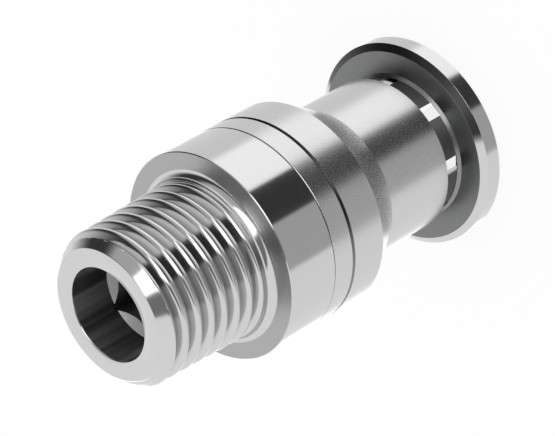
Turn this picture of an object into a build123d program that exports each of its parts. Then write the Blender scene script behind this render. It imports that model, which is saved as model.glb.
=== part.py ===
"""Stainless push-in fitting: taper male thread at one end, 10 mm tube at the other.

Frame: origin at the centre of the release ring's rear face, +Z along the axis from
the tube end to the threaded end. All sizes in millimetres.
"""
from math import atan, ceil, cos, degrees, radians, sin, tan
import os

from build123d import *

os.makedirs("parts", exist_ok=True)

# Tube that the fitting takes
tube_diameter = 10.0
tube_play = 0.1             # room round the tube in the ring and socket, on the radius
stop_land = 1.6             # plain socket between the seal and the tube stop

# Walls, each measured out from the piece inside it
finger_thickness = 1.1      # release ring's shank
barb_height = 0.45          # barbs stand out from the shank this far
barb_room = 0.2             # between the barbs and the housing's cavity
guide_wall = 0.49           # narrow end of the housing
seal_section = 1.5          # pocket for the seal
spigot_wall = 1.0           # body's spigot round that pocket
sleeve_wall = 1.18          # housing and middle ring round the spigot
flange_stand_out = 0.15     # flange beyond the barrel
running_play = 0.06         # shank in its guide
joint_gap = 0.02            # between pieces that are pressed together

# Release ring
flange_thickness = 2.0
flange_edge_depth = 0.4     # front chamfer, along the axis
flange_edge_width = 0.6     # front chamfer, along the radius
flange_rear_chamfer = 0.2
mouth_chamfer = 0.8         # lead-in for the tube
shank_bevel = 0.25          # between the flange and the shank
slot_count = 8
slot_width = 1.3
slot_floor = 1.1            # height of the slots' closed ends, inside the flange
slot_angle = 11.2           # place of the first slot round the axis
barb_land = 0.4             # straight part of the barb
barb_length = 0.9
ring_travel = 1.8           # how far the ring can be pushed in
stop_room = 0.15            # what stays free at the end of that travel

# Rear housing
narrow_length = 7.05
cavity_rise = 1.25          # the cavity for the barbs starts this far above the neck
mouth_edge_chamfer = 0.15
shoulder_length = 3.5
housing_barrel_length = 3.48
groove_chamfer = 0.22       # front edge of the housing, the rear side of the dark groove
joint_chamfer = 0.07        # other edges along the joint lines

# Middle ring, between the two joint lines
middle_ring_length = 2.03

# Threaded body
collar_length = 4.94
collar_fillet = 0.65        # between the collar's face and the thread
cove_steps = 3              # conical stretches that make up this fillet
hexagon_across_flats = 7.0
hexagon_overcut = 0.25      # its corners run this far into the flow bore's wall
hexagon_angle = 27.2        # place of one corner round the axis
flow_bore_step = 0.4        # flow bore is this much wider than the hexagon, on the radius
flow_bore_depth = 3.7
flow_cone_length = 0.75
flow_mouth_chamfer = 0.25

# Taper thread, R 1/4: 19 turns to the inch, 55 degree flanks, taper 1 in 16
thread_pitch = 25.4 / 19
thread_gauge_diameter = 13.157
thread_gauge_length = 6.0
thread_taper = 1 / 16
thread_length = 10.9
thread_depth = 0.640327 * thread_pitch
crest_width = 1 / 6 * thread_pitch
flank_angle = 27.5          # each flank leans this far
end_chamfer = 0.93
runout_length = 0.6         # the root rises to the crest over this stretch
runout_land = 0.05          # plain stretch between the collar's fillet and the run-out
first_crest = -1.13         # where the ridge starts, above the collar's face, at +X
ridge_sink = 0.15           # how far the ridge reaches into the core

# Claw of spring steel
claw_thickness = 0.4
claw_rim_width = 1.6
claw_tooth_count = 8
claw_tooth_gap = 0.7
claw_tooth_rise = 1.35
claw_bite = 0.15            # teeth stand this far inside the tube's surface

# Backing ring and seal
backing_skirt_length = 1.9
backing_skirt_width = 0.34
backing_web_thickness = 0.8
pocket_play = 0.03
seal_length = 1.9
seal_bite = 0.15            # lips stand this far inside the tube's surface
seal_lip_width = 0.45
seal_lip_rise = 0.4
seal_waist_depth = 0.3

# Radii, from the tube outwards
tube_radius = tube_diameter / 2
socket_radius = tube_radius + tube_play
shank_radius = socket_radius + finger_thickness
barb_radius = shank_radius + barb_height
cavity_radius = barb_radius + barb_room
guide_radius = shank_radius + running_play
narrow_radius = guide_radius + guide_wall
pocket_radius = socket_radius + seal_section
insert_radius = pocket_radius - pocket_play
spigot_radius = pocket_radius + spigot_wall
sleeve_radius = spigot_radius + joint_gap
barrel_radius = sleeve_radius + sleeve_wall
flange_radius = barrel_radius + flange_stand_out
claw_rim_radius = spigot_radius - claw_rim_width
claw_tip_radius = tube_radius - claw_bite
seal_lip_radius = tube_radius - seal_bite
hexagon_inner_radius = hexagon_across_flats / 2
flow_radius = hexagon_inner_radius + flow_bore_step

# Heights, stacked up from the release ring's rear face
housing_z = flange_thickness + ring_travel + stop_room
neck_z = housing_z + narrow_length
shoulder_z = neck_z + shoulder_length
housing_top = shoulder_z + housing_barrel_length
cavity_z = neck_z + cavity_rise
barb_z = cavity_z + joint_gap
claw_z = barb_z + barb_length + ring_travel + stop_room
spigot_z = claw_z + claw_thickness + joint_gap
middle_ring_z = housing_top + joint_gap
collar_z = middle_ring_z + middle_ring_length + joint_gap
thread_z = collar_z + collar_length
end_z = thread_z + thread_length
backing_web_z = spigot_z + backing_skirt_length
seal_z = backing_web_z + backing_web_thickness + joint_gap
pocket_top = seal_z + seal_length + joint_gap
tube_stop_z = pocket_top + stop_land
flow_floor = end_z - flow_bore_depth

# Slope of the claw's teeth, which the fingers' tips follow
tooth_slope = claw_tooth_rise / (claw_rim_radius - claw_tip_radius)
nose_edge_z = barb_z + barb_length
nose_tip_z = nose_edge_z + (claw_rim_radius - socket_radius) * tooth_slope


def radial_plane(angle):
    """Upright plane through the axis, at this angle from +X."""
    turn = radians(angle)
    return Plane((0, 0, 0), x_dir=(cos(turn), sin(turn), 0), z_dir=(sin(turn), -cos(turn), 0))


def planes_around(count, first=0.0):
    """Evenly spaced upright planes through the axis."""
    return [radial_plane(first + 360 / count * turn) for turn in range(count)]


def thread_radius(z):
    """Outer radius of the taper thread at this height."""
    gauge_z = end_z - thread_gauge_length
    return thread_gauge_diameter / 2 + (gauge_z - z) * thread_taper / 2


# Release ring: flange, and a shank slotted into fingers that snap into the housing
with BuildPart() as release_ring:
    with BuildSketch(Plane.XZ):
        with BuildLine():
            Polyline(
                (socket_radius + mouth_chamfer, 0),
                (flange_radius - flange_rear_chamfer, 0),
                (flange_radius, flange_rear_chamfer),
                (flange_radius, flange_thickness - flange_edge_depth),
                (flange_radius - flange_edge_width, flange_thickness),
                (shank_radius + shank_bevel, flange_thickness),
                (shank_radius, flange_thickness + shank_bevel),
                (shank_radius, barb_z),
                (barb_radius, barb_z),
                (barb_radius, barb_z + barb_land),
                (claw_rim_radius, nose_edge_z),
                (socket_radius, nose_tip_z),
                (socket_radius, mouth_chamfer),
                close=True,
            )
        make_face()
    revolve(axis=Axis.Z)
    with BuildSketch(*planes_around(slot_count, slot_angle)):
        with BuildLine():
            Polyline(
                (socket_radius - tube_play, slot_floor),
                (shank_radius, slot_floor),
                (shank_radius, flange_thickness + shank_bevel),
                (barb_radius + running_play, flange_thickness + shank_bevel),
                (barb_radius + running_play, nose_tip_z + stop_room),
                (socket_radius - tube_play, nose_tip_z + stop_room),
                close=True,
            )
        make_face()
    extrude(amount=slot_width / 2, both=True, mode=Mode.SUBTRACT)
release_ring.part.label = "release_ring"

# Rear housing: narrow guide for the ring, shoulder, and the barrel over the spigot
with BuildPart() as rear_housing:
    with BuildSketch(Plane.XZ):
        with BuildLine():
            Polyline(
                (guide_radius, housing_z + mouth_edge_chamfer),
                (guide_radius + mouth_edge_chamfer, housing_z),
                (narrow_radius - mouth_edge_chamfer, housing_z),
                (narrow_radius, housing_z + mouth_edge_chamfer),
                (narrow_radius, neck_z),
                (barrel_radius, shoulder_z),
                (barrel_radius, housing_top - groove_chamfer),
                (barrel_radius - groove_chamfer, housing_top),
                (sleeve_radius, housing_top),
                (sleeve_radius, claw_z),
                (cavity_radius, claw_z),
                (cavity_radius, cavity_z),
                (guide_radius, cavity_z),
                close=True,
            )
        make_face()
    revolve(axis=Axis.Z)
rear_housing.part.label = "rear_housing"

# Middle ring
with BuildPart() as middle_ring:
    with BuildSketch(Plane.XZ):
        with BuildLine():
            ring_top = middle_ring_z + middle_ring_length
            Polyline(
                (sleeve_radius, middle_ring_z),
                (barrel_radius - joint_chamfer, middle_ring_z),
                (barrel_radius, middle_ring_z + joint_chamfer),
                (barrel_radius, ring_top - joint_chamfer),
                (barrel_radius - joint_chamfer, ring_top),
                (sleeve_radius, ring_top),
                close=True,
            )
        make_face()
    revolve(axis=Axis.Z)
middle_ring.part.label = "middle_ring"

# Threaded body: collar, rear spigot, taper thread, hexagon socket and flow bore
axial_pitch_factor = cos(atan(thread_taper / 2))
trim_margin = 4.0           # cutting profiles run this far past the metal
ridge_depth = thread_depth + ridge_sink
ridge_half_width = crest_width / 2 + ridge_depth * tan(radians(flank_angle))
ridge_z = thread_z + first_crest
ridge_radius = thread_radius(ridge_z)
thread_turns = ceil((thread_length - first_crest) / thread_pitch) + 1
runout_z = thread_z + collar_fillet + runout_land
root_z = runout_z + runout_length
collar_cove = [
    (
        thread_radius(thread_z) + collar_fillet * (1 - sin(radians(90 / cove_steps * step))),
        thread_z + collar_fillet * (1 - cos(radians(90 / cove_steps * step))),
    )
    for step in range(cove_steps + 1)
]
with BuildPart() as threaded_body:
    with BuildSketch(Plane.XZ):
        with BuildLine():
            Polyline(
                (0, spigot_z),
                (spigot_radius, spigot_z),
                (spigot_radius, collar_z),
                (barrel_radius - joint_chamfer, collar_z),
                (barrel_radius, collar_z + joint_chamfer),
                (barrel_radius, thread_z - joint_chamfer),
                (barrel_radius - joint_chamfer, thread_z),
                *collar_cove,
                (thread_radius(runout_z), runout_z),
                (thread_radius(root_z) - thread_depth, root_z),
                (thread_radius(end_z) - thread_depth, end_z),
                (0, end_z),
                close=True,
            )
        make_face()
    revolve(axis=Axis.Z)
    with BuildLine() as ridge_path:
        for turn in range(thread_turns):
            turn_z = ridge_z + turn * thread_pitch
            Helix(
                thread_pitch / axial_pitch_factor,
                thread_pitch,
                thread_radius(turn_z),
                center=(0, 0, turn_z),
                cone_angle=-degrees(atan(thread_taper / 2)),
            )
    with BuildSketch(Plane.XZ) as ridge_profile:
        with BuildLine():
            Polyline(
                (ridge_radius, ridge_z - crest_width / 2),
                (ridge_radius, ridge_z + crest_width / 2),
                (ridge_radius - ridge_depth, ridge_z + ridge_half_width),
                (ridge_radius - ridge_depth, ridge_z - ridge_half_width),
                close=True,
            )
        make_face()
    sweep(sections=ridge_profile.sketch, path=ridge_path.line, is_frenet=True)
    # End face and its chamfer, trimmed through core and ridge
    end_face_radius = thread_radius(end_z) - end_chamfer
    with BuildSketch(Plane.XZ):
        with BuildLine():
            Polyline(
                (0, end_z),
                (end_face_radius, end_z),
                (end_face_radius + trim_margin, end_z - trim_margin),
                (end_face_radius + trim_margin, end_z + trim_margin),
                (0, end_z + trim_margin),
                close=True,
            )
        make_face()
    revolve(axis=Axis.Z, mode=Mode.SUBTRACT)
    # Flow bore, and the cone between it and the hexagon
    cone_slope = flow_cone_length / (flow_radius - hexagon_inner_radius)
    with BuildSketch(Plane.XZ):
        with BuildLine():
            Polyline(
                (0, end_z + flow_mouth_chamfer),
                (flow_radius + 2 * flow_mouth_chamfer, end_z + flow_mouth_chamfer),
                (flow_radius, end_z - flow_mouth_chamfer),
                (flow_radius, flow_floor),
                (0, flow_floor - flow_radius * cone_slope),
                close=True,
            )
        make_face()
    revolve(axis=Axis.Z, mode=Mode.SUBTRACT)
    # Pocket for the seal, and the tube socket with its stop
    with BuildSketch(Plane.XZ):
        with BuildLine():
            Polyline(
                (0, spigot_z - trim_margin),
                (pocket_radius, spigot_z - trim_margin),
                (pocket_radius, pocket_top),
                (socket_radius, pocket_top),
                (socket_radius, tube_stop_z),
                (0, tube_stop_z),
                close=True,
            )
        make_face()
    revolve(axis=Axis.Z, mode=Mode.SUBTRACT)
    # Hexagon socket for the key
    with BuildSketch(Plane.XY.offset(tube_stop_z - hexagon_overcut)):
        RegularPolygon(hexagon_inner_radius, 6, major_radius=False, rotation=hexagon_angle)
    extrude(amount=flow_floor - tube_stop_z + 2 * hexagon_overcut, mode=Mode.SUBTRACT)
threaded_body.part.label = "threaded_body"

# Claw: flat rim clamped between housing and spigot, teeth leaning in along the tube's way
tooth_lean = atan(tooth_slope)
tooth_top_radius = claw_rim_radius + (claw_thickness / cos(tooth_lean) - claw_thickness) / tooth_slope
with BuildPart() as claw:
    with BuildSketch(Plane.XZ):
        with BuildLine():
            Polyline(
                (claw_rim_radius, claw_z),
                (spigot_radius, claw_z),
                (spigot_radius, claw_z + claw_thickness),
                (tooth_top_radius, claw_z + claw_thickness),
                (
                    claw_tip_radius + claw_thickness * sin(tooth_lean),
                    claw_z + claw_tooth_rise + claw_thickness * cos(tooth_lean),
                ),
                (claw_tip_radius, claw_z + claw_tooth_rise),
                close=True,
            )
        make_face()
    revolve(axis=Axis.Z)
    with BuildSketch(Plane.XY.offset(claw_z - claw_thickness)):
        with PolarLocations(claw_tip_radius, claw_tooth_count):
            Rectangle(2 * (claw_rim_radius - claw_tip_radius), claw_tooth_gap)
    extrude(amount=claw_tooth_rise + 3 * claw_thickness, mode=Mode.SUBTRACT)
claw.part.label = "claw"

# Backing ring: skirt that holds the claw's rim, web that carries the seal
with BuildPart() as backing_ring:
    with BuildSketch(Plane.XZ):
        with BuildLine():
            web_top = backing_web_z + backing_web_thickness
            Polyline(
                (insert_radius - backing_skirt_width, spigot_z),
                (insert_radius, spigot_z),
                (insert_radius, web_top),
                (socket_radius, web_top),
                (socket_radius, backing_web_z),
                (insert_radius - backing_skirt_width, backing_web_z),
                close=True,
            )
        make_face()
    revolve(axis=Axis.Z)
backing_ring.part.label = "backing_ring"

# Seal, with two lips inside and a waist on both sides
with BuildPart() as tube_seal:
    with BuildSketch(Plane.XZ):
        with BuildLine():
            seal_middle_z = seal_z + seal_length / 2
            seal_back_radius = insert_radius - seal_waist_depth
            seal_neck_radius = seal_lip_radius + seal_lip_rise
            Polyline(
                (insert_radius, seal_z),
                (insert_radius, seal_z + seal_lip_width),
                (seal_back_radius, seal_middle_z),
                (insert_radius, seal_z + seal_length - seal_lip_width),
                (insert_radius, seal_z + seal_length),
                (seal_neck_radius, seal_z + seal_length),
                (seal_lip_radius, seal_z + seal_length - seal_lip_width),
                (seal_neck_radius, seal_middle_z),
                (seal_lip_radius, seal_z + seal_lip_width),
                (seal_neck_radius, seal_z),
                close=True,
            )
        make_face()
    revolve(axis=Axis.Z)
tube_seal.part.label = "tube_seal"

export_step(release_ring.part, "parts/release_ring.step")
export_step(rear_housing.part, "parts/rear_housing.step")
export_step(middle_ring.part, "parts/middle_ring.step")
export_step(threaded_body.part, "parts/threaded_body.step")
export_step(claw.part, "parts/claw.step")
export_step(backing_ring.part, "parts/backing_ring.step")
export_step(tube_seal.part, "parts/tube_seal.step")
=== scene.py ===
"""Looks of the push-in fitting: polished and satin stainless steel in a white studio."""

from functools import partial
from math import cos, radians, sin, tan, tau

import bmesh
import bpy
from mathutils import Matrix, Vector


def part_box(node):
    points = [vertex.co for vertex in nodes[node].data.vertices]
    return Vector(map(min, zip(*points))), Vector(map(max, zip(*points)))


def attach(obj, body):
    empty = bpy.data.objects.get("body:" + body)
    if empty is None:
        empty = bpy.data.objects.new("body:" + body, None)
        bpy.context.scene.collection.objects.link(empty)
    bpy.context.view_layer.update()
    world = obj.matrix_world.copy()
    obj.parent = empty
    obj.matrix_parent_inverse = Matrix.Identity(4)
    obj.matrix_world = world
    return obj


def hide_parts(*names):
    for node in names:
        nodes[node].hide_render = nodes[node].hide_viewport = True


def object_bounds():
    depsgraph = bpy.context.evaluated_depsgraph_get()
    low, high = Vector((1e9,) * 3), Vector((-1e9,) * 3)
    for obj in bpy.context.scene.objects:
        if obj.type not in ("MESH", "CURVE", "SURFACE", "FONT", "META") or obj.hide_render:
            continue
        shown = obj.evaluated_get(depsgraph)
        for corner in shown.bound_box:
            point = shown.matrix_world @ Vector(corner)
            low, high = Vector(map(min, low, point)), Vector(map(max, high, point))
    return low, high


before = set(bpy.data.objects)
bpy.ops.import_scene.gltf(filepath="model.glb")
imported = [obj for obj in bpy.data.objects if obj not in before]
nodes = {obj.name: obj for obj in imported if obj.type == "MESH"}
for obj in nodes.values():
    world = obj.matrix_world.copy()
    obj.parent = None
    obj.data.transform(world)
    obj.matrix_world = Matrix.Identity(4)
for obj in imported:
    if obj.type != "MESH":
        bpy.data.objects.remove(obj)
cad_low, cad_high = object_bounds()

mm = 0.001
hair = 0.01 * mm               # clears rounding where heights are compared

# Release ring: heights above its rear face, and radii
flange_face = 2.0 * mm
flange_edge_depth = 0.4 * mm
flange_edge_inside = 8.3 * mm  # just inside the front chamfer
shank_foot_radius = 6.3 * mm   # where the flange's flat face starts
shank_inside = 6.0 * mm        # just inside the shank's surface
shank_bevel = 0.25 * mm
shank_top = 12 * mm            # above all of the shank that shows

# Heights that the other pieces give
groove_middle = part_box("middle_ring")[0].z - 0.09 * mm
collar_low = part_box("middle_ring")[1].z
bore_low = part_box("tube_seal")[1].z + 1.34 * mm    # below the tube's stop
end_height = cad_high.z

# Taper thread R 1/4: 19 turns to the inch, 55 degrees between flanks, taper 1 in 16
thread_pitch = 25.4 / 19 * mm
thread_length = 10.9 * mm
thread_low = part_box("threaded_body")[1].z - thread_length
flank_angle = radians(27.5)
gauge_length = 6 * mm                    # from the end to the gauge plane
gauge_radius = 13.157 / 2 * mm
gauge_height = end_height - gauge_length
radius_taper = 1 / 32
sharp_depth = 0.960491 * thread_pitch
root_rounding = 0.137329 * thread_pitch
crest_rounding = 0.20 * thread_pitch     # larger than the standard's 0.137329, as in the photo
first_crest = thread_low - 1.335 * mm    # where the crest passes +X
end_chamfer = 0.93 * mm
cove_radius = 0.65 * mm                  # between the collar's face and the thread
runout_land = 0.05 * mm
runout_length = 0.65 * mm
collar_edge_radius = 8.73 * mm
cove_foot_radius = 7.3 * mm              # where the collar's flat face starts

# Mouth of the flow bore
mouth_edge_radius = 3.96 * mm
flow_bore_radius = 3.90 * mm
mouth_depth = 0.25 * mm

# Direction across the axis in which the steel lies in shade
shade_direction = (0.777, -0.629, 0)


def link(tree, out_socket, in_socket):
    tree.links.new(out_socket, in_socket)


def math_node(tree, operation, first, second=None, third=None):
    """Adds a Math node. Each input is a number or a socket. Returns the result's socket."""
    node = tree.nodes.new("ShaderNodeMath")
    node.operation = operation
    for socket, value in zip(node.inputs, (first, second, third)):
        if value is None:
            continue
        if isinstance(value, (int, float)):
            socket.default_value = value
        else:
            link(tree, value, socket)
    return node.outputs[0]


def vector_node(tree, operation, vector, constant=None):
    """Adds a Vector Math node on a vector's socket, with a constant vector where it takes two."""
    node = tree.nodes.new("ShaderNodeVectorMath")
    node.operation = operation
    link(tree, vector, node.inputs[0])
    if constant is not None:
        node.inputs[1].default_value = constant
    gives_number = operation in ("DOT_PRODUCT", "LENGTH")
    return node.outputs["Value" if gives_number else "Vector"]


def smooth_step(tree, value, low, high):
    """0 below low, 1 above high, and smooth between."""
    node = tree.nodes.new("ShaderNodeMapRange")
    node.interpolation_type = "SMOOTHSTEP"
    node.inputs["From Min"].default_value = low
    node.inputs["From Max"].default_value = high
    link(tree, value, node.inputs["Value"])
    return node.outputs["Result"]


def object_place(tree):
    """Object coordinates, as a socket."""
    return tree.nodes.new("ShaderNodeTexCoord").outputs["Object"]


def place_on_axis(tree):
    """Height along the axis, distance from it, and the place across it, as sockets."""
    place = object_place(tree)
    split = tree.nodes.new("ShaderNodeSeparateXYZ")
    link(tree, place, split.inputs[0])
    flat = vector_node(tree, "MULTIPLY", place, (1, 1, 0))
    return split.outputs["Z"], vector_node(tree, "LENGTH", flat), flat


def noise(tree, cells, detail):
    """Noise on Object coordinates, with this many cells to the metre along each axis."""
    stretch = tree.nodes.new("ShaderNodeMapping")
    stretch.inputs["Scale"].default_value = cells
    link(tree, object_place(tree), stretch.inputs["Vector"])
    texture = tree.nodes.new("ShaderNodeTexNoise")
    texture.inputs["Scale"].default_value = 1
    texture.inputs["Detail"].default_value = detail
    link(tree, stretch.outputs["Vector"], texture.inputs["Vector"])
    return texture.outputs["Fac"]


def new_effect(name, inputs, outputs):
    """An empty shader group with these sockets, given as name to kind."""
    tree = bpy.data.node_groups.new(name, "ShaderNodeTree")
    for socket_name, kind in inputs.items():
        tree.interface.new_socket(socket_name, in_out="INPUT", socket_type=kind)
    for socket_name, kind in outputs.items():
        tree.interface.new_socket(socket_name, in_out="OUTPUT", socket_type=kind)
    return tree, tree.nodes.new("NodeGroupInput").outputs, tree.nodes.new("NodeGroupOutput").inputs


def turned_grain_effect():
    """Fine marks of turning and tumbling: a normal for the shader, and a mask for its roughness."""
    tree, given, result = new_effect(
        "turned_grain",
        {"Line depth": "NodeSocketFloat", "Grain depth": "NodeSocketFloat"},
        {"Normal": "NodeSocketVector", "Mask": "NodeSocketFloat"},
    )
    # Lines run round the axis: their noise changes fast only along it
    lines = noise(tree, cells=(60, 60, 9000), detail=2)
    grain = noise(tree, cells=(6000, 6000, 6000), detail=3)
    line_height = math_node(tree, "MULTIPLY", lines, given["Line depth"])
    height = math_node(tree, "MULTIPLY_ADD", grain, given["Grain depth"], line_height)
    full_depth = 0.01 * mm
    bump = tree.nodes.new("ShaderNodeBump")
    bump.inputs["Distance"].default_value = full_depth
    bump.inputs["Strength"].default_value = 1
    link(tree, height, bump.inputs["Height"])
    link(tree, bump.outputs["Normal"], result["Normal"])
    link(tree, grain, result["Mask"])
    return tree


def painted_joint_shade_effect():
    """Painted shade in the joints between the turned pieces: how much light they leave, 1 in the open,
    low inside them, and lower on the side in shade.
    """
    # Middle and half width of each joint line
    joint_lines = [(groove_middle, 0.15 * mm), (collar_low + hair, 0.03 * mm)]
    edge_softness = 0.02 * mm
    lit_side_light = 0.38
    shaded_side_light = 0.08
    # Where the shade starts and is full, measured from the axis in its direction
    shade_start = -2 * mm
    shade_full = 4 * mm
    tree, _, result = new_effect("painted_joint_shade", {}, {"Light": "NodeSocketFloat"})
    along, _, flat = place_on_axis(tree)
    towards_shade = vector_node(tree, "DOT_PRODUCT", flat, shade_direction)
    in_shade = smooth_step(tree, towards_shade, shade_start, shade_full)
    extra = lit_side_light - shaded_side_light
    taken = math_node(tree, "MULTIPLY_ADD", in_shade, extra, 1 - lit_side_light)
    light = 1
    for middle, half in joint_lines:
        away = math_node(tree, "ABSOLUTE", math_node(tree, "SUBTRACT", along, middle))
        outside = smooth_step(tree, away, half, half + edge_softness)
        swallowed = math_node(tree, "MULTIPLY", math_node(tree, "SUBTRACT", 1, outside), taken)
        light = math_node(tree, "MULTIPLY", light, math_node(tree, "SUBTRACT", 1, swallowed))
    link(tree, light, result["Light"])
    return tree


turned_grain = turned_grain_effect()
# Painted shade for the joints, which every steel takes
painted_joint_shade = painted_joint_shade_effect()


def add_effect(tree, effect, values):
    """Places a shader group in a material, with these values in its inputs."""
    node = tree.nodes.new("ShaderNodeGroup")
    node.node_tree = effect
    for name, value in values.items():
        node.inputs[name].default_value = value
    return node.outputs


def plain_colour(tree, colour):
    """One colour, as a socket."""
    node = tree.nodes.new("ShaderNodeRGB")
    node.outputs[0].default_value = colour
    return node.outputs[0]


def streaks_along_axis(tree, dark, light):
    """Broad streaks along the axis, from a dark colour to a light one."""
    ramp = tree.nodes.new("ShaderNodeValToRGB")
    dark_end, light_end = ramp.color_ramp.elements
    dark_end.position = 0.42
    dark_end.color = dark
    light_end.position = 0.68
    light_end.color = light
    link(tree, noise(tree, cells=(900, 900, 12), detail=3), ramp.inputs[0])
    return ramp.outputs["Color"]


steel_colour = partial(plain_colour, colour=(0.60, 0.605, 0.60, 1))


def steel(name, roughness, spread, line_depth, grain_depth, metallic=1, colour=steel_colour):
    """A steel material with painted shade in its joints. Its roughness varies by spread, and colour(tree)
    gives the colour's socket.
    """
    material = bpy.data.materials.new(name)
    material.use_nodes = True
    tree = material.node_tree
    shader = tree.nodes["Principled BSDF"]
    shader.inputs["Metallic"].default_value = metallic
    grain = add_effect(tree, turned_grain, {"Line depth": line_depth, "Grain depth": grain_depth})
    link(tree, grain["Normal"], shader.inputs["Normal"])
    uneven = math_node(tree, "MULTIPLY_ADD", grain["Mask"], spread, roughness - spread / 2)
    link(tree, uneven, shader.inputs["Roughness"])
    # Painted shade: the joints scale the colour down
    joint = add_effect(tree, painted_joint_shade, {})
    joint_shaded_colour = tree.nodes.new("ShaderNodeVectorMath")
    joint_shaded_colour.operation = "SCALE"
    link(tree, colour(tree), joint_shaded_colour.inputs[0])
    link(tree, joint["Light"], joint_shaded_colour.inputs["Scale"])
    link(tree, joint_shaded_colour.outputs["Vector"], shader.inputs["Base Color"])
    return material


polished_steel = steel("polished_steel", roughness=0.12, spread=0.04, line_depth=0.02, grain_depth=0.0)
satin_steel = steel("satin_steel", roughness=0.26, spread=0.10, line_depth=0.06, grain_depth=0.10)
spring_steel = steel("spring_steel", roughness=0.22, spread=0.08, line_depth=0.03, grain_depth=0.05)
flange_steel = steel("flange_steel", roughness=0.14, spread=0.05, line_depth=0.03, grain_depth=0.02)

# The wall of the flow bore is rougher, and takes light from the mouth
bore_steel = steel(
    "bore_steel",
    roughness=0.30,
    spread=0.10,
    line_depth=0.30,
    grain_depth=0.10,
    metallic=0.55,
    colour=partial(streaks_along_axis, dark=(0.05, 0.052, 0.05, 1), light=(0.24, 0.245, 0.24, 1)),
)

# The scallops that the drill's cone leaves round the hexagon get a near-white colour: a painted highlight
cone_painted_highlight = steel(
    "cone_painted_highlight",
    roughness=0.25,
    spread=0.05,
    line_depth=0.1,
    grain_depth=0.05,
    metallic=0.3,
    colour=partial(plain_colour, colour=(0.95, 0.95, 0.94, 1)),
)


def mix_colour_and_roughness_where(material, mask, colour, roughness):
    """Mixes another colour and roughness into a material where the mask is 1."""
    tree = material.node_tree
    shader = tree.nodes["Principled BSDF"]
    for name, kind, value in (("Base Color", "RGBA", colour), ("Roughness", "FLOAT", roughness)):
        mix = tree.nodes.new("ShaderNodeMix")
        mix.data_type = kind
        factor, before, after = [socket for socket in mix.inputs if socket.enabled]
        mixed = next(socket for socket in mix.outputs if socket.enabled)
        link(tree, mask, factor)
        link(tree, shader.inputs[name].links[0].from_socket, before)
        after.default_value = value
        link(tree, mixed, shader.inputs[name])


def band_mask(tree, low, high, inner_radius):
    """1 between two heights, outside this radius."""
    along, reach, _ = place_on_axis(tree)
    above = math_node(tree, "GREATER_THAN", along, low)
    below = math_node(tree, "LESS_THAN", along, high)
    outside = math_node(tree, "GREATER_THAN", reach, inner_radius)
    return math_node(tree, "MULTIPLY", math_node(tree, "MULTIPLY", above, below), outside)


def shaded_side_mask(tree, share, softness):
    """1 on the side of the axis that lies in shade. It starts where the cosine is this share."""
    _, reach, flat = place_on_axis(tree)
    cosine = math_node(tree, "DIVIDE", vector_node(tree, "DOT_PRODUCT", flat, shade_direction), reach)
    return smooth_step(tree, cosine, share - softness, share + softness)


def thread_root_shade_mask(tree):
    """Where the roots' painted shade goes: 0 on the thread's crests, 1 in its roots."""
    root_start = 0.20 * mm      # below the crests
    root_full = 0.80 * mm
    groove_low = thread_low + 0.74 * mm
    groove_high = end_height - 0.9 * mm
    inside_roots = 5.4 * mm     # a radius between the roots and the bore
    along, reach, _ = place_on_axis(tree)
    to_gauge = math_node(tree, "SUBTRACT", gauge_height, along)
    crest_radius = math_node(tree, "MULTIPLY_ADD", to_gauge, radius_taper, gauge_radius)
    drop = math_node(tree, "SUBTRACT", crest_radius, reach)
    deep = smooth_step(tree, drop, root_start, root_full)
    return math_node(tree, "MULTIPLY", deep, band_mask(tree, groove_low, groove_high, inside_roots))


def finish_and_shade_release_ring():
    """The flange's face is dull and painted darker, its chamfer has painted shade on one side, and the
    shank and its bevel lie in painted shade.
    """
    tree = flange_steel.node_tree
    bevel_top = flange_face + shank_bevel + hair
    # Painted shade on the flange's face, which is also rougher
    face = band_mask(tree, flange_face - hair, flange_face + hair, shank_foot_radius)
    mix_colour_and_roughness_where(flange_steel, face, colour=(0.22, 0.225, 0.225, 1), roughness=0.42)
    # Painted shade on the shaded side of the front chamfer
    edge_low = flange_face - flange_edge_depth + hair
    edge = band_mask(tree, edge_low, flange_face - hair, flange_edge_inside)
    shaded_edge = math_node(tree, "MULTIPLY", edge, shaded_side_mask(tree, share=0.36, softness=0.06))
    mix_colour_and_roughness_where(flange_steel, shaded_edge, colour=(0.06, 0.06, 0.06, 1), roughness=0.3)
    # Painted shade on the shank's bevel, and then on the shank
    bevel = band_mask(tree, flange_face + hair / 2, bevel_top, shank_inside)
    mix_colour_and_roughness_where(flange_steel, bevel, colour=(0.26, 0.262, 0.26, 1), roughness=0.25)
    shank = band_mask(tree, bevel_top, shank_top, shank_inside)
    mix_colour_and_roughness_where(flange_steel, shank, colour=(0.33, 0.332, 0.33, 1), roughness=0.2)


def finish_and_shade_threaded_body():
    """The collar's face is dull and darker, and the thread's roots have painted shade, darker than its
    crests.
    """
    tree = polished_steel.node_tree
    collar_face = band_mask(tree, thread_low - hair, thread_low + hair, cove_foot_radius)
    mix_colour_and_roughness_where(polished_steel, collar_face, colour=(0.40, 0.405, 0.40, 1), roughness=0.30)
    # Painted shade in the thread's roots
    roots = thread_root_shade_mask(tree)
    mix_colour_and_roughness_where(polished_steel, roots, colour=(0.40, 0.403, 0.40, 1), roughness=0.14)


def rubber(name, colour, roughness):
    """A plain rubber material."""
    material = bpy.data.materials.new(name)
    material.use_nodes = True
    shader = material.node_tree.nodes["Principled BSDF"]
    shader.inputs["Base Color"].default_value = colour
    shader.inputs["Roughness"].default_value = roughness
    return material


finish_and_shade_release_ring()
finish_and_shade_threaded_body()
seal_rubber = rubber("seal_rubber", colour=(0.03, 0.03, 0.03, 1), roughness=0.6)


def finish_with(node_name, material):
    """Gives a CAD node this material in every slot."""
    slots = nodes[node_name].data.materials
    if not slots:
        slots.append(material)
    for index in range(len(slots)):
        slots[index] = material


finish_with("threaded_body", polished_steel)
finish_with("middle_ring", satin_steel)
finish_with("rear_housing", satin_steel)
finish_with("release_ring", flange_steel)
finish_with("claw", spring_steel)
finish_with("backing_ring", spring_steel)
finish_with("tube_seal", seal_rubber)


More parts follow.
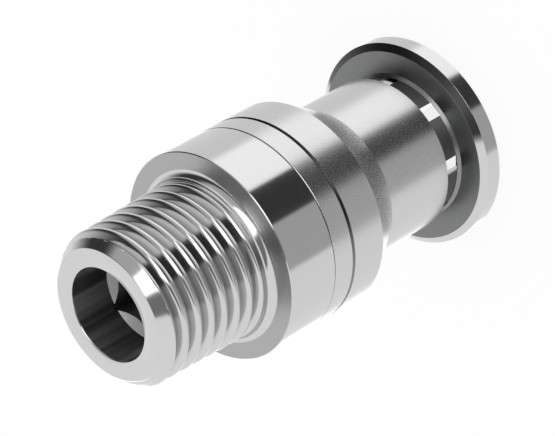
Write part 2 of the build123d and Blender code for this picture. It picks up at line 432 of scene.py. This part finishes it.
def new_shape(name, settings, takes_mesh):
    """An empty Geometry Nodes tree with a named input for each setting.

    Returns the tree, its values by socket identifier, and the sockets at its start and its end.
    """
    tree = bpy.data.node_groups.new(name, "GeometryNodeTree")
    if takes_mesh:
        tree.interface.new_socket("Mesh", in_out="INPUT", socket_type="NodeSocketGeometry")
    values = {}
    for setting, value in settings.items():
        kind = "NodeSocketFloat" if isinstance(value, (int, float)) else "NodeSocketMaterial"
        socket = tree.interface.new_socket(setting, in_out="INPUT", socket_type=kind)
        values[socket.identifier] = value
    tree.interface.new_socket("Mesh", in_out="OUTPUT", socket_type="NodeSocketGeometry")
    given = tree.nodes.new("NodeGroupInput").outputs
    result = tree.nodes.new("NodeGroupOutput").inputs
    return tree, values, given, result


def add_shape(item, tree, values):
    """Puts a Geometry Nodes modifier with these values on an object."""
    modifier = item.modifiers.new(tree.name, "NODES")
    modifier.node_group = tree
    for identifier, value in values.items():
        modifier[identifier] = value


def plain_mesh_of(tree, values):
    """Runs a Geometry Nodes tree with these values and returns the result as a plain mesh."""
    carrier = bpy.data.objects.new("carrier", bpy.data.meshes.new("carrier"))
    bpy.context.collection.objects.link(carrier)
    add_shape(carrier, tree, values)
    seen = carrier.evaluated_get(bpy.context.evaluated_depsgraph_get())
    mesh = bpy.data.meshes.new_from_object(seen)
    bpy.data.objects.remove(carrier)
    return mesh


def end_shape(tree, mesh, given, result):
    """Ends a Geometry Nodes tree in a real mesh with the steel that it is given."""
    realized = tree.nodes.new("GeometryNodeRealizeInstances")
    finished = tree.nodes.new("GeometryNodeSetMaterial")
    link(tree, mesh, realized.inputs["Geometry"])
    link(tree, realized.outputs["Geometry"], finished.inputs["Geometry"])
    link(tree, given["Steel"], finished.inputs["Material"])
    link(tree, finished.outputs["Geometry"], result["Mesh"])


def between_0_and_1(calc, value):
    """The value, or 0 or 1 where it lies past them."""
    return calc("MINIMUM", calc("MAXIMUM", value, 0), 1)


def crest_cone(calc, given, height):
    """Radius of the cone on which the crests lie, at this height."""
    to_gauge = calc("SUBTRACT", given["Gauge height"], height)
    return calc("MULTIPLY_ADD", to_gauge, given["Taper"], given["Gauge radius"])


def groove_drop(calc, given, height, turn):
    """How far the thread's profile lies below the cone of its crests."""
    # Distances from the nearest crest and root, counted in pitches, which lie half a pitch apart
    climbed = calc("DIVIDE", calc("SUBTRACT", height, given["First crest"]), given["Pitch"])
    to_crest = calc("PINGPONG", calc("SUBTRACT", climbed, turn), 0.5)
    to_root = calc("SUBTRACT", 0.5, to_crest)
    nearer = calc("MULTIPLY", calc("MINIMUM", to_crest, to_root), given["Pitch"])

    def drop_from(rounding):
        """How far the profile lies from its turning point: an arc, then the straight flank."""
        on_arc = calc("MINIMUM", nearer, calc("MULTIPLY", rounding, cos(flank_angle)))
        arc_square = calc("SUBTRACT", calc("POWER", rounding, 2), calc("POWER", on_arc, 2))
        arc_drop = calc("SUBTRACT", rounding, calc("SQRT", arc_square))
        flank_drop = calc("DIVIDE", calc("SUBTRACT", nearer, on_arc), tan(flank_angle))
        return calc("ADD", arc_drop, flank_drop)

    both_roundings = calc("ADD", given["Crest rounding"], given["Root rounding"])
    depth = calc("MULTIPLY_ADD", both_roundings, 1 - 1 / sin(flank_angle), given["Sharp depth"])
    crest_drop = drop_from(given["Crest rounding"])
    root_drop = calc("SUBTRACT", depth, drop_from(given["Root rounding"]))
    on_crest = calc("LESS_THAN", to_crest, to_root)
    return calc("MULTIPLY_ADD", on_crest, calc("SUBTRACT", crest_drop, root_drop), root_drop)


def side_radius(calc, given, height, drop):
    """Radius of the threaded end: the groove with its run-out, the end chamfer and the cove."""
    above_start = calc("SUBTRACT", height, given["Start height"])
    below_end = calc("SUBTRACT", given["End height"], height)
    past_land = calc("SUBTRACT", above_start, calc("ADD", given["Cove radius"], given["Run-out land"]))
    depth_share = between_0_and_1(calc, calc("DIVIDE", past_land, given["Run-out"]))
    thread_radius = calc("SUBTRACT", crest_cone(calc, given, height), calc("MULTIPLY", drop, depth_share))

    # The chamfer leans at 45 degrees
    end_radius = calc("SUBTRACT", crest_cone(calc, given, given["End height"]), given["Chamfer"])
    cut_radius = calc("MINIMUM", thread_radius, calc("ADD", end_radius, below_end))

    into_cove = calc("MAXIMUM", calc("SUBTRACT", given["Cove radius"], above_start), 0)
    cove_square = calc("SUBTRACT", calc("POWER", given["Cove radius"], 2), calc("POWER", into_cove, 2))
    cove_rise = calc("SUBTRACT", given["Cove radius"], calc("SQRT", calc("MAXIMUM", cove_square, 0)))
    return calc("ADD", cut_radius, cove_rise)


def threaded_end_shape():
    """Outer surface of the threaded end, from the collar's edge to the mouth, as one wound grid."""
    tree, values, given, result = new_shape(
        "threaded_end",
        {
            "Pitch": thread_pitch,
            "Sharp depth": sharp_depth,
            "Crest rounding": crest_rounding,
            "Root rounding": root_rounding,
            "Gauge radius": gauge_radius,
            "Gauge height": gauge_height,
            "Taper": radius_taper,
            "Start height": thread_low,
            "End height": end_height,
            "First crest": first_crest,
            "Chamfer": end_chamfer,
            "Cove radius": cove_radius,
            "Run-out land": runout_land,
            "Run-out": runout_length,
            "Collar edge": collar_edge_radius,
            "Mouth edge": mouth_edge_radius,
            "Edge break": mouth_edge_radius - flow_bore_radius,
            "Mouth depth": mouth_depth,
            "Steel": polished_steel,
        },
        takes_mesh=False,
    )
    calc = partial(math_node, tree)

    # Row 0 is the collar's edge. Then come the side, the end face and the two rows of the mouth.
    turn_steps = 180
    side_steps = 260
    face_rows = 3
    side_top = 1 + side_steps
    face_end = side_top + face_rows
    last_row = face_end + 2
    grid = tree.nodes.new("GeometryNodeMeshGrid")
    grid.inputs["Size X"].default_value = 1
    grid.inputs["Size Y"].default_value = 1
    grid.inputs["Vertices X"].default_value = turn_steps + 1
    grid.inputs["Vertices Y"].default_value = last_row + 1
    split = tree.nodes.new("ShaderNodeSeparateXYZ")
    link(tree, tree.nodes.new("GeometryNodeInputPosition").outputs[0], split.inputs[0])
    turn = calc("ADD", split.outputs["X"], 0.5)
    row = calc("ROUND", calc("MULTIPLY", calc("ADD", split.outputs["Y"], 0.5), last_row))

    climb = between_0_and_1(calc, calc("DIVIDE", calc("SUBTRACT", row, 1), side_steps))
    length = calc("SUBTRACT", given["End height"], given["Start height"])
    height = calc("MULTIPLY_ADD", climb, length, given["Start height"])
    radius = side_radius(calc, given, height, groove_drop(calc, given, height, turn))

    # Across the end face, with rows that crowd towards the side
    crowding = 3
    across = between_0_and_1(calc, calc("DIVIDE", calc("SUBTRACT", row, side_top), face_rows))
    inward = calc("POWER", across, crowding)
    radius = calc("MULTIPLY_ADD", inward, calc("SUBTRACT", given["Mouth edge"], radius), radius)

    # Over the mouth's edge, then down its wall
    past_face = calc("MAXIMUM", calc("SUBTRACT", row, face_end), 0)
    edge_break = calc("MULTIPLY", calc("MINIMUM", past_face, 1), given["Edge break"])
    down_wall = calc("MAXIMUM", calc("SUBTRACT", past_face, 1), 0)
    wall_length = calc("SUBTRACT", given["Mouth depth"], given["Edge break"])
    sunk = calc("MULTIPLY_ADD", down_wall, wall_length, edge_break)
    radius = calc("SUBTRACT", radius, edge_break)

    at_collar = calc("LESS_THAN", row, 0.5)
    radius = calc("MULTIPLY_ADD", at_collar, calc("SUBTRACT", given["Collar edge"], radius), radius)

    angle = calc("MULTIPLY", turn, tau)
    wound = tree.nodes.new("ShaderNodeCombineXYZ")
    link(tree, calc("MULTIPLY", radius, calc("COSINE", angle)), wound.inputs["X"])
    link(tree, calc("MULTIPLY", radius, calc("SINE", angle)), wound.inputs["Y"])
    link(tree, calc("SUBTRACT", height, sunk), wound.inputs["Z"])

    placed = tree.nodes.new("GeometryNodeSetPosition")
    link(tree, grid.outputs["Mesh"], placed.inputs["Geometry"])
    link(tree, wound.outputs[0], placed.inputs["Position"])

    # The grid's two long edges meet after one turn
    seam_gap = 0.0001 * mm
    closed = tree.nodes.new("GeometryNodeMergeByDistance")
    closed.inputs["Distance"].default_value = seam_gap
    link(tree, placed.outputs["Geometry"], closed.inputs["Geometry"])
    end_shape(tree, closed.outputs["Geometry"], given, result)
    return tree, values


def is_kept(centre, lowest):
    """Whether the body keeps a CAD face: not on the threaded end, where the wound grid stands for it."""
    in_bore = centre.xy.length < mouth_edge_radius and lowest < end_height - mouth_depth - hair
    return lowest < thread_low - hair or in_bore


def faces_kept(source):
    """A copy of a CAD node's mesh with only the faces that the body keeps."""
    shape = bmesh.new()
    shape.from_mesh(source.data)
    shape.transform(source.matrix_world)
    unwanted = []
    for face in shape.faces:
        lowest = min(corner.co.z for corner in face.verts)
        if not is_kept(face.calc_center_median(), lowest):
            unwanted.append(face)
    bmesh.ops.delete(shape, geom=unwanted, context="FACES")
    return shape


def steel_of(face):
    """Which steel a face of the body has: the flow bore and the cone over its hexagon differ."""
    least_cone_slope = 0.3
    mouth_low = end_height - 0.1 * mm
    if face.center.xy.length >= mouth_edge_radius or not bore_low < face.center.z < mouth_low:
        return polished_steel
    return cone_painted_highlight if abs(face.normal.z) > least_cone_slope else bore_steel


def make_fitting_body():
    """The threaded body with its fine thread, as one plain mesh."""
    sharp_edge = radians(35)
    shape = faces_kept(nodes["threaded_body"])
    shape.from_mesh(plain_mesh_of(*threaded_end_shape()))
    mesh = bpy.data.meshes.new("fitting_body")
    shape.to_mesh(mesh)
    steels = [polished_steel, bore_steel, cone_painted_highlight]
    for material in steels:
        mesh.materials.append(material)
    for face in mesh.polygons:
        face.material_index = steels.index(steel_of(face))
        face.use_smooth = True
    mesh.set_sharp_from_angle(angle=sharp_edge)
    body = bpy.data.objects.new("fitting_body", mesh)
    bpy.context.collection.objects.link(body)
    return body


fitting_body = make_fitting_body()
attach(fitting_body, "fitting")
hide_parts("threaded_body")


def thin_fingers_shape():
    """Takes metal off the inside of the release ring's fingers, more towards the flange."""
    tree, values, given, result = new_shape(
        "thin_fingers",
        {
            "Low radius": 5.65 * mm,
            "High radius": 5.10 * mm,
            "Low": 1.1 * mm,
            "Length": 11.1 * mm,
            "Steel": flange_steel,
        },
        takes_mesh=True,
    )
    cutter_sides = 90
    cutter = tree.nodes.new("GeometryNodeMeshCone")
    cutter.inputs["Vertices"].default_value = cutter_sides
    link(tree, given["High radius"], cutter.inputs["Radius Top"])
    link(tree, given["Low radius"], cutter.inputs["Radius Bottom"])
    link(tree, given["Length"], cutter.inputs["Depth"])
    lift = tree.nodes.new("ShaderNodeCombineXYZ")
    link(tree, given["Low"], lift.inputs["Z"])
    moved = tree.nodes.new("GeometryNodeTransform")
    link(tree, cutter.outputs["Mesh"], moved.inputs["Geometry"])
    link(tree, lift.outputs[0], moved.inputs["Translation"])
    cut = tree.nodes.new("GeometryNodeMeshBoolean")
    cut.operation = "DIFFERENCE"
    link(tree, given["Mesh"], cut.inputs["Mesh 1"])
    link(tree, moved.outputs["Geometry"], cut.inputs["Mesh 2"])
    end_shape(tree, cut.outputs["Mesh"], given, result)
    return tree, values


add_shape(nodes["release_ring"], *thin_fingers_shape())

# Studio: what the metal sees round it, by direction. Azimuth is measured from +Y towards +X.
# Each card is (azimuth from, azimuth to, edge softness, low side, high side, light level).
studio_level = 1.03
floor_side = (-1.1, -0.15)
upper_side = (0.1, 1.1)
studio_cards = [
    (22, 86, 10, *floor_side, 0.86),
    (90, 142, 8, *floor_side, 1.35),
    (143, 185, 2, *floor_side, 0.05),
    (185, 236, 3, *floor_side, 0.50),
    (236, 325, 8, *floor_side, 0.97),
    (330, 375, 8, *floor_side, 1.55),
    (45, 98, 34, -0.09, 1.1, 0.05),
    (98, 143, 6, *upper_side, 0.55),
    (143, 186, 3, *upper_side, 1.95),
    (188, 228, 6, *upper_side, 0.22),
]


def paint_studio(tree, direction):
    """Light level of the studio in this direction, as a socket."""
    rise_softness = 0.1
    calc = partial(math_node, tree)
    split = tree.nodes.new("ShaderNodeSeparateXYZ")
    link(tree, direction, split.inputs[0])
    azimuth = calc("ARCTAN2", split.outputs["X"], split.outputs["Y"])
    rise = split.outputs["Z"]
    level = studio_level
    for start, end, softness, low, high, light in studio_cards:
        middle = radians(start + end) / 2
        half = radians(end - start) / 2
        edge = radians(softness) / 2
        # Distance from the card's middle, wrapped to half a turn each way
        offset = calc("WRAP", calc("SUBTRACT", azimuth, middle), radians(180), radians(-180))
        beside = smooth_step(tree, calc("ABSOLUTE", offset), half - edge, half + edge)
        above = smooth_step(tree, rise, low, low + rise_softness)
        too_high = smooth_step(tree, rise, high - rise_softness, high)
        band = calc("MULTIPLY", above, calc("SUBTRACT", 1, too_high))
        card = calc("MULTIPLY", calc("SUBTRACT", 1, beside), band)
        level = calc("MULTIPLY_ADD", card, calc("SUBTRACT", light, level), level)
    return level


def make_studio():
    """An even white room, in which only shiny surfaces see the cards."""
    world = bpy.data.worlds.new("studio")
    bpy.context.scene.world = world
    world.use_nodes = True
    world.cycles.sampling_method = "NONE"
    tree = world.node_tree
    painted = paint_studio(tree, tree.nodes.new("ShaderNodeTexCoord").outputs["Generated"])
    is_reflected = tree.nodes.new("ShaderNodeLightPath").outputs["Is Glossy Ray"]
    level = math_node(tree, "MULTIPLY_ADD", is_reflected, math_node(tree, "SUBTRACT", painted, 1), 1)
    background = tree.nodes["Background"]
    background.inputs["Color"].default_value = (1, 1, 1, 1)
    link(tree, level, background.inputs["Strength"])


def make_floor(size, shadow_share):
    """A floor that is white to the camera, with the object's soft shadow."""
    bpy.ops.mesh.primitive_plane_add(size=size)
    floor = bpy.context.object
    floor.name = "floor"
    floor.visible_glossy = False
    paint = bpy.data.materials.new("floor_paint")
    paint.use_nodes = True
    tree = paint.node_tree
    shader = tree.nodes["Principled BSDF"]
    shader.inputs["Base Color"].default_value = (1, 1, 1, 1)
    shader.inputs["Roughness"].default_value = 1
    shader.inputs["Specular IOR Level"].default_value = 0
    light = tree.nodes.new("ShaderNodeEmission")
    is_camera = tree.nodes.new("ShaderNodeLightPath").outputs["Is Camera Ray"]
    mix = tree.nodes.new("ShaderNodeMixShader")
    link(tree, math_node(tree, "MULTIPLY", is_camera, 1 - shadow_share), mix.inputs[0])
    link(tree, shader.outputs[0], mix.inputs[1])
    link(tree, light.outputs[0], mix.inputs[2])
    link(tree, mix.outputs[0], tree.nodes["Material Output"].inputs["Surface"])
    floor.data.materials.append(paint)
    return floor


def make_camera():
    """A long lens beyond the threaded end, rolled as the photograph is."""
    photo_width = 555
    photo_height = 436
    focal_pixels = 2600.0
    end_pixel = (106.8, 314.7)         # centre of the threaded end in the photograph
    end_distance = 194.84 * mm
    sensor_width = 36.0
    forward = Vector((0, 0.78496, -0.61955)).normalized()
    up_hint = Vector((0.86616, -0.30963, -0.39229))
    right = forward.cross(up_hint).normalized()
    up = right.cross(forward)
    pixel_size = end_distance / focal_pixels
    end_right = (end_pixel[0] - (photo_width - 1) / 2) * pixel_size
    end_down = (end_pixel[1] - (photo_height - 1) / 2) * pixel_size
    place = Vector((0, 0, end_height)) - forward * end_distance - right * end_right + up * end_down
    camera_data = bpy.data.cameras.new("camera")
    camera_data.sensor_width = sensor_width
    camera_data.lens = focal_pixels * sensor_width / photo_width
    camera_data.clip_start = 10 * mm
    camera = bpy.data.objects.new("camera", camera_data)
    bpy.context.collection.objects.link(camera)
    turned = Matrix((right, up, -forward)).transposed().to_4x4()
    camera.matrix_world = Matrix.Translation(place) @ turned
    return camera


make_studio()
make_floor(size=2.0, shadow_share=0.15)
bpy.context.scene.camera = make_camera()
bpy.context.scene.view_settings.view_transform = "Standard"
